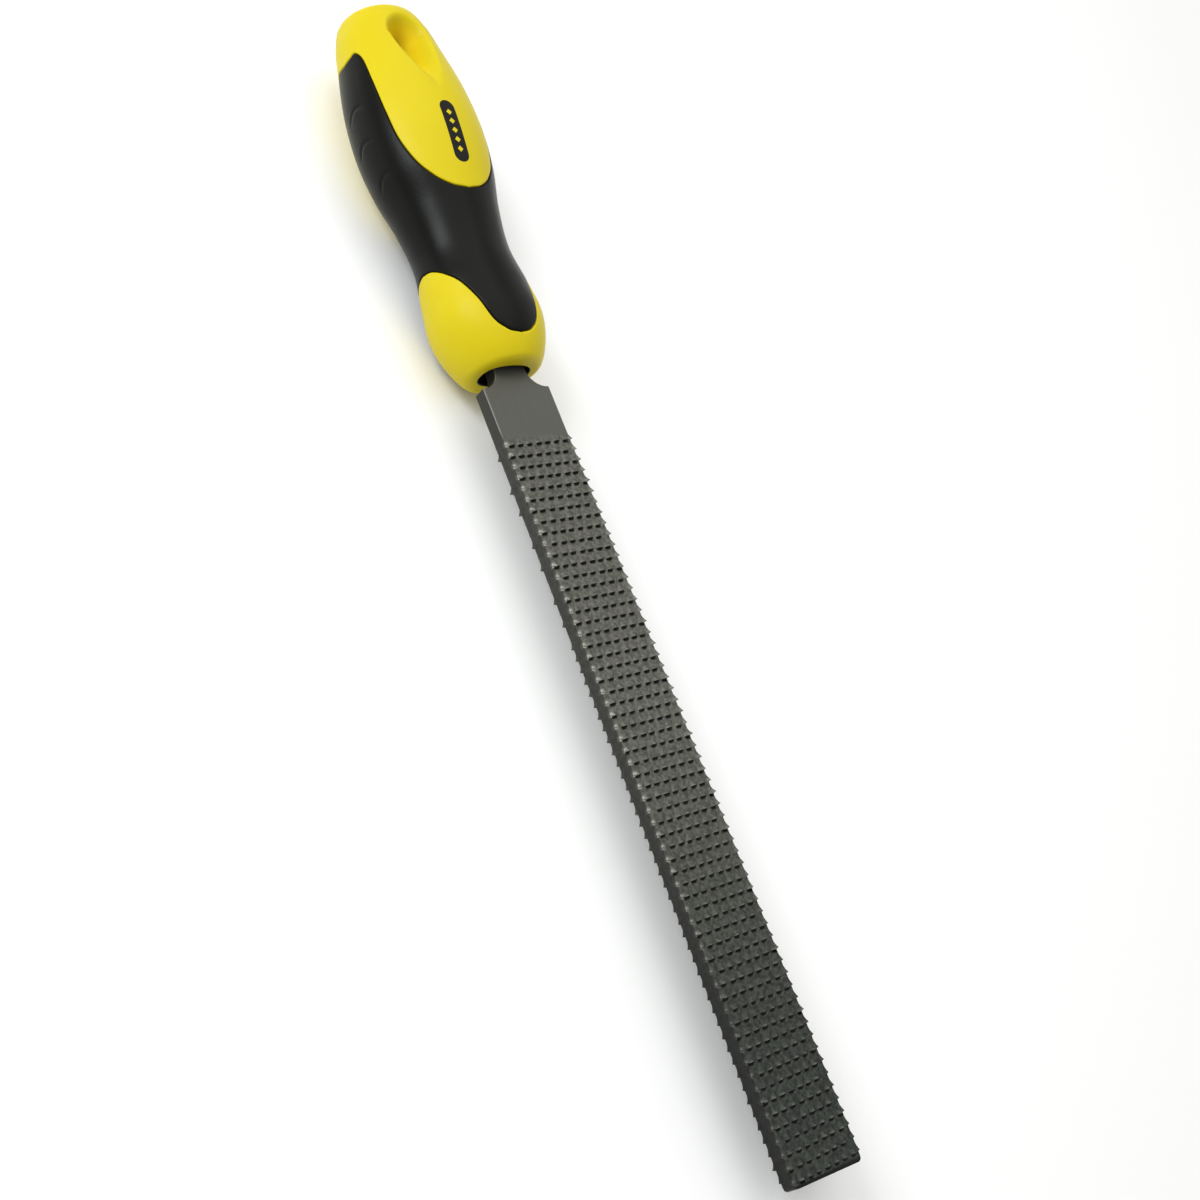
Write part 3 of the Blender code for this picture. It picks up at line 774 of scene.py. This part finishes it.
# ---------------------------------------------------------------- the blade
LENGTH = 200.5
SHOULDER_WIDTH = 20.5
TIP_WIDTH = 21.5
HALF_THICKNESS = 2.0
TIP_CORNER = 1.2
NOTCH_RADIUS = 5.3
NECK_HALF_WIDTH = 4.8
TANG_START = -12.0     # the tang tapers from here to its end, in width and in thickness
TANG_END = -70.0
TANG_NARROWING = 3.2
TANG_THINNING = 0.8
CORNER = 0.3           # rounding of the long edges

ROWS = 62
FIRST_ROW = 15.8       # X of the first row's crests
ROW_PITCH = 3.0
ROW_LEAN = math.tan(math.radians(2.3))
TOOTH_PITCH = 2.8
ROW_SHIFT = -0.39 * TOOTH_PITCH
TOOTH_HEIGHT = 0.55
TOOTH_RAMP = 1.7
PIT_DEPTH = 0.5
PIT_LENGTH = 0.82
TOOTH_HALF_WIDTH = 0.9
EDGE_MARGIN = 0.65     # no tooth of a face stands nearer to the edge
SAW_POINT = 0.95       # how far the end teeth of a row stand past the blade's edge
SAW_SPREAD = 1.05      # and how far round they reach
EDGE_PIT_DEPTH = 0.35
SCATTER_SEED = 7

FACE_COLUMNS = 62
EDGE_COLUMNS = 9
ON_FACE, ON_CORNER, ON_SIDE = 0, 1, 2
# Stations of one row of teeth, from its crest: up the ramp, down the fall, through the pit
PAST_CREST = (-1.75, -1.1, -0.6, -0.25, 0.0, 0.1, 0.35, 0.65, 0.95)


def along_tang(x):
    """0 up to the start of the taper and 1 at the tang's end."""
    return np.clip((TANG_START - np.asarray(x, float)) / (TANG_START - TANG_END), 0, 1)


def blade_half_width(x):
    """Half-width at X: tang, neck, round notch, long body, and the rounded corners of the tip."""
    x = np.asarray(x, float)
    body = (SHOULDER_WIDTH + (TIP_WIDTH - SHOULDER_WIDTH) * np.clip(x, 0, None) / LENGTH) / 2
    corner = np.clip(x - (LENGTH - TIP_CORNER), 0, TIP_CORNER)
    body = body - TIP_CORNER + np.sqrt(np.maximum(TIP_CORNER**2 - corner**2, 0))
    into = np.clip(x + NOTCH_RADIUS, 0, NOTCH_RADIUS)
    notch = NECK_HALF_WIDTH + NOTCH_RADIUS - np.sqrt(np.maximum(NOTCH_RADIUS**2 - into**2, 0))
    tang = NECK_HALF_WIDTH - TANG_NARROWING * along_tang(x)
    return np.where(x >= 0, body, np.where(x > -NOTCH_RADIUS, notch, tang))


def blade_half_thickness(x):
    return HALF_THICKNESS - TANG_THINNING * along_tang(x)


def blade_stations():
    """X of each ring, with the number of its row of teeth or -1, and the distance past the crest."""
    turn = np.linspace(0, math.pi / 2, 9)
    plain = list(np.linspace(TANG_END, TANG_START, 5)) + [-9.0, -7.0]
    plain += list(-NOTCH_RADIUS + NOTCH_RADIUS * np.sin(turn))
    plain += [0.001, 1.0, 4.0, 8.0, 12.0, 13.2]
    stations = [(x, -1, 0.0) for x in plain]
    for row in range(ROWS):
        for past in PAST_CREST:
            stations.append((FIRST_ROW + row * ROW_PITCH + past, row, past))
    end = LENGTH - TIP_CORNER + TIP_CORNER * np.sin(np.linspace(0.45, math.pi / 2, 6))
    stations = [s for s in stations if s[0] < end[0] - 0.1]
    stations += [(x, -1, 0.0) for x in end]
    return np.array(stations)


def section_columns():
    """One loop round the blade: signs and shares of half-width and half-thickness, and normals.

    It runs across the front, down one edge, back across the back face and up the
    other edge. Each corner is a quarter round of three points.
    """
    across = np.linspace(-1, 1, FACE_COLUMNS)
    down = np.linspace(1, -1, EDGE_COLUMNS)
    corner = np.radians([22.5, 45, 67.5])
    parts = []

    def put(y, z, inset_y, inset_z, ny, nz, where):
        y, z, inset_y, inset_z, ny, nz = np.broadcast_arrays(y, z, inset_y, inset_z, ny, nz)
        parts.append(np.stack([y, z, inset_y, inset_z, ny, nz, np.full(y.shape, where)], axis=-1))

    for sign in (1, -1):
        put(across * sign, sign, 1, 0, 0, sign, ON_FACE)
        put(sign, sign, 1 - np.sin(corner), 1 - np.cos(corner),
            sign * np.sin(corner), sign * np.cos(corner), ON_CORNER)
        put(sign, down * sign, 0, 1, sign, 0, ON_SIDE)
        put(sign, -sign, 1 - np.cos(corner), 1 - np.sin(corner),
            sign * np.cos(corner), -sign * np.sin(corner), ON_CORNER)
    return np.concatenate(parts)


def tooth_profile(past):
    """Height along a tooth: a ramp that rises to the crest, then the steep fall into the pit."""
    ramp = np.clip(1 + past / TOOTH_RAMP, 0, 1) ** 1.5
    fall = np.clip(1 - past / 0.1, 0, 1)
    return np.where(past <= 0, ramp, fall)


def pit_profile(past):
    """Depth along the pit ahead of the crest: deepest near the tooth, and out at PIT_LENGTH."""
    t = np.clip(past / PIT_LENGTH, 0, 1)
    return np.where(past > 0.02, np.minimum(t / 0.12, 1) * np.clip((1 - t) / 0.6, 0, 1), 0)


def face_teeth(rng, row, past, own_y, back, allowed):
    """Height of the teeth of both faces, depth of their pits, and where a pit's floor is.

    A tooth stands at every TOOTH_PITCH across a row, and each row starts ROW_SHIFT
    further along. The places and heights scatter a little, as punched teeth do.
    """
    first = (row * ROW_SHIFT) % TOOTH_PITCH
    number = np.round((own_y - first) / TOOTH_PITCH).astype(int)
    per_tooth = (2, ROWS, 32)
    scatter = rng.uniform(-0.16, 0.16, per_tooth)
    height = rng.uniform(0.8, 1.15, per_tooth)
    at = (back, row, number + 16)
    centre = first + number * TOOTH_PITCH + scatter[at]
    present = allowed(centre)
    across = np.abs(own_y - centre)
    width = TOOTH_HALF_WIDTH * (0.55 + 0.45 * np.clip(1 + past / TOOTH_RAMP, 0, 1))
    bump = np.clip(1 - (across / width) ** 2, 0, 1)
    hollow = np.clip(1 - (across / (TOOTH_HALF_WIDTH * 0.98)) ** 6, 0, 1)
    rise = present * height[at] * TOOTH_HEIGHT * tooth_profile(past) * bump
    sink = present * PIT_DEPTH * pit_profile(past) * hollow
    return rise, sink, present * hollow * ((past > 0.05) & (past < 0.62))


def end_tooth_sizes(rng, x0, row, left, back):
    """Share of SAW_POINT that each end tooth has; some near the heel on one long edge are missing."""
    size = rng.uniform(0.75, 1.1, (2, 2, ROWS))[1 - left, back, row]
    missing = (row % 5 % 3 != 1) & (row < 18) & (left == 1) & (back == 1)
    return np.where(missing, 0.1, size) * (1 - 0.3 * step_up(x0, 80, 160))


def make_blade(material):
    """A loop carried along the blade, raised into teeth and sunk into pits along its normals."""
    rng = np.random.default_rng(SCATTER_SEED)
    stations, columns = blade_stations(), section_columns()
    x0, row, past = (stations[:, k][:, None] for k in range(3))
    side_y, side_z, inset_y, inset_z, ny, nz, where = (columns[:, k][None, :] for k in range(7))
    on_face, on_corner, on_side = where == ON_FACE, where == ON_CORNER, where == ON_SIDE
    face_sign = np.where(np.abs(nz) > 0.3, np.sign(nz), np.sign(side_z))
    back, left = (face_sign < 0).astype(int), (side_y <= 0).astype(int)
    toothed = row >= 0
    row = np.maximum(row, 0).astype(int)

    # The bare bar, with its rows leaning
    half_w, half_t = blade_half_width(x0), blade_half_thickness(x0)
    r = np.minimum(CORNER, half_w)
    y = np.where(on_face, side_y * (half_w - r), side_y * (half_w - r * inset_y * (1 - on_side)))
    z = np.where(on_side, side_z * (half_t - r), side_z * (half_t - r * inset_z * (1 - on_face)))
    lean = np.where(toothed, ROW_LEAN, 0.0) * step_up(x0, FIRST_ROW - 3, FIRST_ROW)
    x = x0 - lean * y * np.where(back, -1, 1)

    def allowed(centre):
        return toothed & (np.abs(centre) < half_w - EDGE_MARGIN) & (np.abs(nz) > 0.9)

    rise, sink, pit_floor = face_teeth(rng, row, past, y * face_sign, back, allowed)

    # End teeth break through the long edges as saw points; those of one edge stand up more
    from_edge = np.hypot(half_w - np.abs(y), half_t - np.abs(z))
    near = np.clip(1 - from_edge / SAW_SPREAD, 0, 1) ** 0.8
    size = end_tooth_sizes(rng, x0, row, left, back)
    point = toothed * size * SAW_POINT * tooth_profile(past + 0.15) * near
    edge_pit = toothed * EDGE_PIT_DEPTH * pit_profile(past) * near * on_face
    upright = (left == 1) & (back == 0)
    move_y = ny * (rise - sink) + np.sign(side_y) * point * np.where(upright, 0.35, 1.0)
    move_z = nz * (rise - sink) + face_sign * (point * np.where(upright, 0.6, 0.4) - edge_pit)
    points = np.stack([x, y + move_y, z + move_z], axis=-1)

    # Shares of the colours: painted highlight along the heel's long edges, then at the end teeth and on
    # the crests
    past_heel = step_up(x0, 12.0, 15.0)
    end_tooth = toothed * step_up(past, -1.3, -0.4) * (past < 0.3) * np.clip(near * 2, 0, 1)
    # The end teeth of the upright edge get the most painted highlight, less towards the tip
    end_tooth_highlight = np.where(upright, 0.8, 0.3) * (1 - 0.85 * step_up(x0, 90, 165))
    painted_highlight = 0.14 * on_corner * (1 - past_heel) + end_tooth * end_tooth_highlight
    painted_highlight = painted_highlight + 0.5 * np.clip(rise / TOOTH_HEIGHT - 0.6, 0, 1)
    neck_shade_and_skin = 0.8 * on_side + 0.7 * on_corner * past_heel * (1 - end_tooth)
    # Painted shade on the neck from just inside the handle's mouth; the tip's end face keeps the dark
    # skin
    neck_shade_and_skin = neck_shade_and_skin + 0.9 * step_up(-x0, 5.6, 8.0) + (x0 > LENGTH - 0.9)
    shares = {
        "toothed": step_up(x0, 13.0, 15.5),
        "towards_tip": step_up(x0, 75, 178),
        "dark_skin_and_mouth_shade": np.clip(neck_shade_and_skin, 0, 1),
        # Painted shade in the pits and on their floors
        "painted_pit_shade": np.clip(sink / PIT_DEPTH + pit_floor * 0.45, 0, 1),
        "painted_highlight": np.clip(painted_highlight, 0, 1),
    }
    values = {name: np.broadcast_to(share, points.shape[:2]) for name, share in shares.items()}
    return surface("toothed_blade", blade_to_world(points), material, values, sharp=TOOTH_CREASE)


# ---------------------------------------------------------------- scene
def make_floor(material):
    """A flat sheet of paper just under the rasp."""
    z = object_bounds()[0][2] - FLOOR_GAP
    mesh = bpy.data.meshes.new("floor")
    signs = ((-1, -1), (1, -1), (1, 1), (-1, 1))
    corners = [(x * FLOOR_HALF_SIZE, y * FLOOR_HALF_SIZE, z) for x, y in signs]
    mesh.from_pydata(corners, [], [(0, 1, 2, 3)])
    mesh.materials.append(material)
    floor = bpy.data.objects.new("floor", mesh)
    bpy.context.scene.collection.objects.link(floor)
    floor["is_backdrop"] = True


add_camera()
light_studio()
blade = make_blade(hardened_steel())
core = make_core(yellow_plastic())
sleeve = make_sleeve(black_rubber())
for piece, node, slot in (
    (blade, "rasp_blade", "blade_steel"),
    (core, "handle_core", "core_plastic"),
    (sleeve, "grip_sleeve", "grip_rubber"),
):
    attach(piece, "root")
    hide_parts(node)
make_floor(floor_paper())
